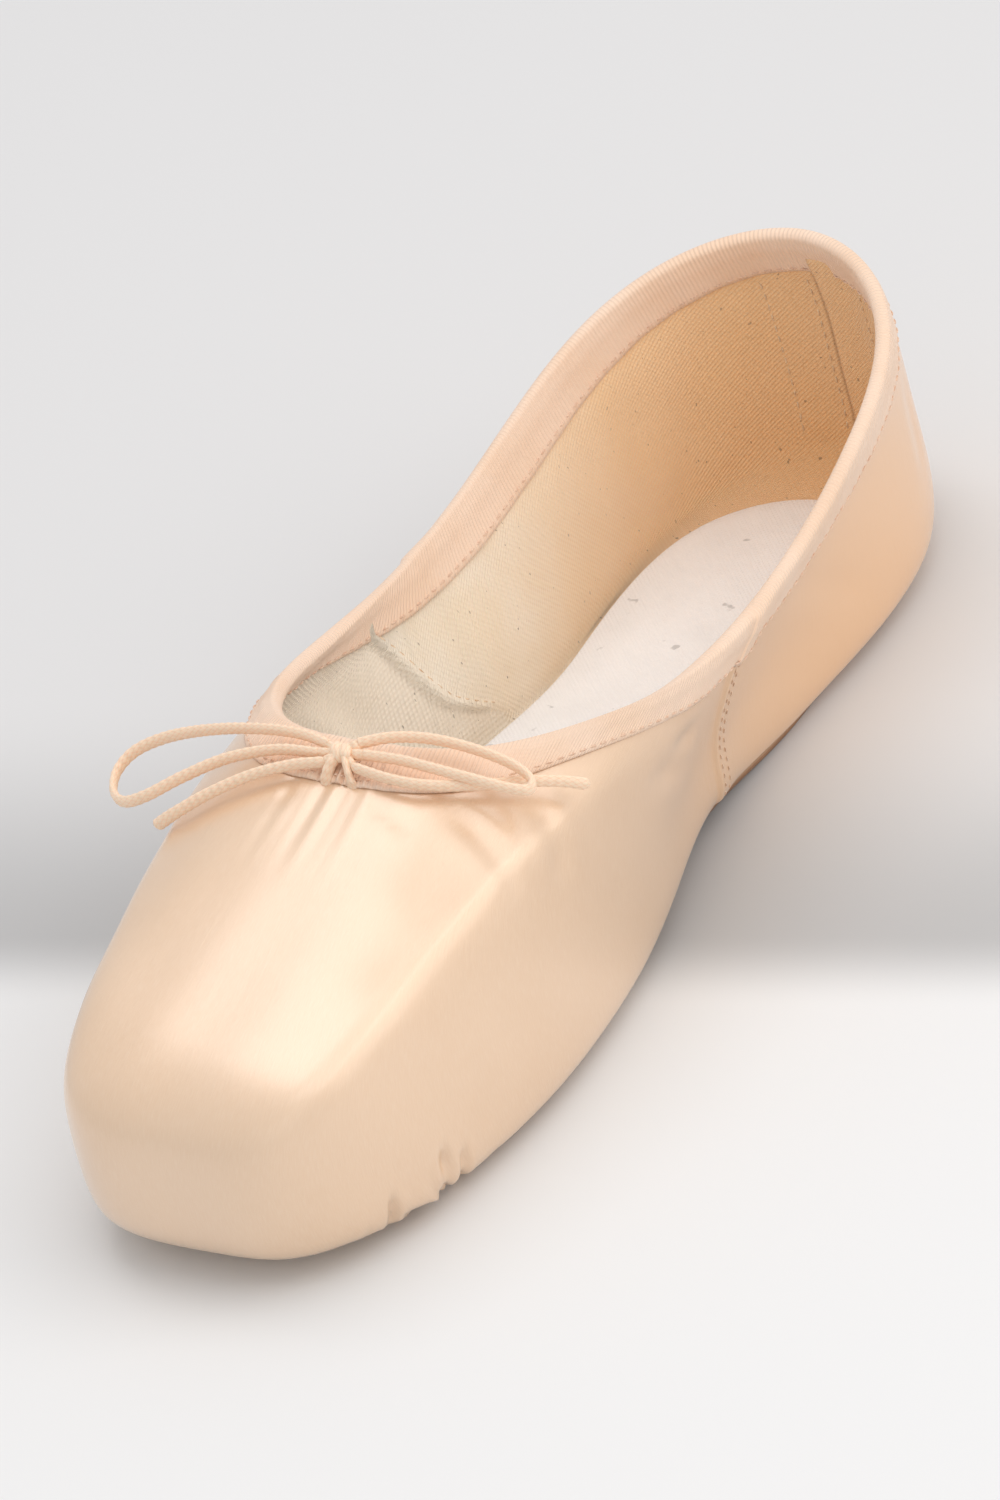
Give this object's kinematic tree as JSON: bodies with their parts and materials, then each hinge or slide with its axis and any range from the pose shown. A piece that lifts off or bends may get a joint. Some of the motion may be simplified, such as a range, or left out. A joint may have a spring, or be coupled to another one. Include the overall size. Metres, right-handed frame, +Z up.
{
  "type": "pointe shoe",
  "caption": "Satin pointe shoe with a hollow stiff box, flat toe platform, taped collar, drawstring bow and short leather outsole.",
  "frame": {"origin": "middle of the shoe on the floor, under the centre of its box without the bow's cords", "axes": "+Z up from the floor, -Y toward the toe's platform, +Y toward the heel, X across; X = 0 halves the shoe"},
  "size_m": [0.0856, 0.2326, 0.0586],
  "materials": {
    "satin": "satin",
    "ribbed_tape": "ribbed",
    "satin_strip": "satin",
    "sole_leather": "matte",
    "insole_canvas": "matte",
    "drawstring": "braided"
  },
  "bodies": {
    "root": {"upper": "satin", "outsole": "sole_leather", "insole": "insole_canvas", "collar_casing": "ribbed_tape", "heel_strip": "satin_strip", "drawstring_knot": "drawstring", "drawstring_loop_left": "drawstring", "drawstring_loop_right": "drawstring", "drawstring_end_left": "drawstring", "drawstring_end_right": "drawstring"}
  },
  "joints": []
}
